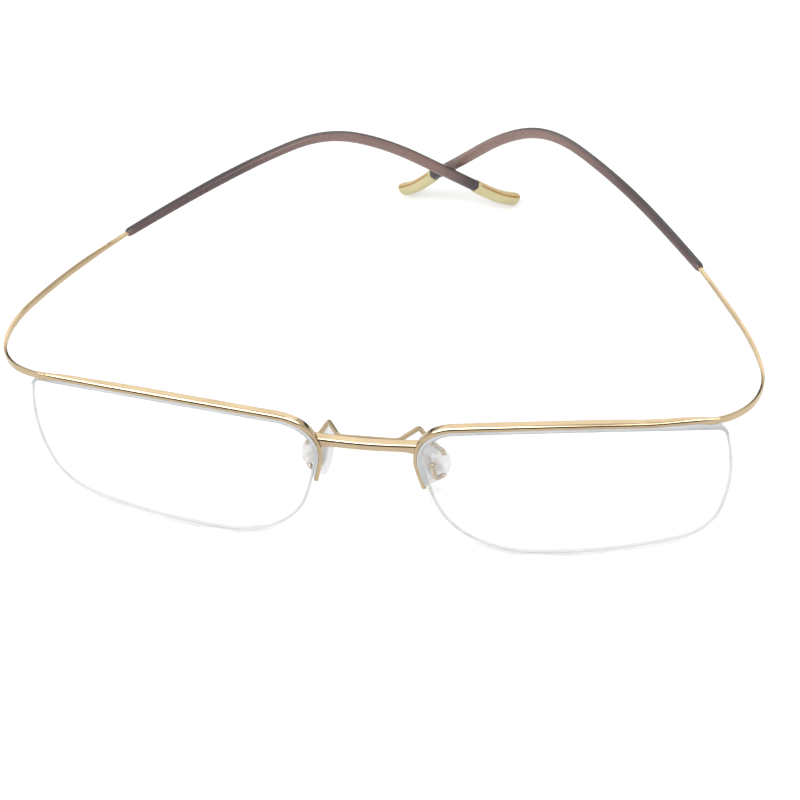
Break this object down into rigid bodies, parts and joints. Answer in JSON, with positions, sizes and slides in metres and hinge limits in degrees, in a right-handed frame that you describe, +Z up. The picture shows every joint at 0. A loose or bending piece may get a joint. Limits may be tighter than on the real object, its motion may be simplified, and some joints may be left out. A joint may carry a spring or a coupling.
{
  "type": "half rim eyeglasses",
  "caption": "half rim eyeglasses with hingeless strip temples, brow bars over clear lenses held by nylon cords, wire nose pad arms, and moulded temple sleeves with end caps",
  "frame": {"origin": "mid-plane of the front, at the middle of the overall depth, on the surface that the glasses stand on", "axes": "+X to the wearer's left, +Y from the lenses to the temple tips, +Z up; the front faces -Y"},
  "size_m": [0.1337, 0.1114, 0.034],
  "materials": {
    "gold_titanium": "pale champagne gold plating over titanium, semi-polished",
    "lens_clear": "clear, polished both sides, coated",
    "nylon": "translucent milky nylon line",
    "pad_core": "clear hard plastic, slightly milky",
    "pad_silicone": "clear soft silicone, satin",
    "sleeve_brown": "translucent taupe brown moulding, gloss",
    "cap_gold": "pale gold, satin, with an amber groove"
  },
  "bodies": {
    "front": {"right_rim": "gold_titanium", "left_rim": "gold_titanium", "bridge": "gold_titanium", "pad_arm_wire": "gold_titanium", "right_lens": "lens_clear", "left_lens": "lens_clear", "right_nylon_cord": "nylon", "left_nylon_cord": "nylon", "right_rim_liner": "nylon", "left_rim_liner": "nylon", "right_endpiece_strip": "gold_titanium", "left_endpiece_strip": "gold_titanium"},
    "right_temple": {"right_temple": "gold_titanium", "right_temple_sleeve": "sleeve_brown", "right_tip_cap": "cap_gold"},
    "left_temple": {"left_temple": "gold_titanium", "left_temple_sleeve": "sleeve_brown", "left_tip_cap": "cap_gold"},
    "right_nose_pad": {"right_nose_pad_core": "pad_core", "right_nose_pad_cushion": "pad_silicone"},
    "left_nose_pad": {"left_nose_pad_core": "pad_core", "left_nose_pad_cushion": "pad_silicone"}
  },
  "joints": [
    {"name": "right_temple_flex", "type": "hinge", "parent": "front", "child": "right_temple", "pos_m": [-0.0654, -0.03995, 0.02963], "axis": [0, 0, 1], "range_deg": [0, 40], "stiffness_Nm_per_rad": 0.35},
    {"name": "left_temple_flex", "type": "hinge", "parent": "front", "child": "left_temple", "pos_m": [0.0654, -0.03995, 0.02963], "axis": [0, 0, -1], "range_deg": [0, 40], "stiffness_Nm_per_rad": 0.35},
    {"name": "right_nose_pad_swivel", "type": "hinge", "parent": "front", "child": "right_nose_pad", "pos_m": [-0.012, -0.04735, 0.01713], "axis": [0, 0, 1], "range_deg": [-10, 10]},
    {"name": "left_nose_pad_swivel", "type": "hinge", "parent": "front", "child": "left_nose_pad", "pos_m": [0.012, -0.04735, 0.01713], "axis": [0, 0, 1], "range_deg": [-10, 10]}
  ]
}
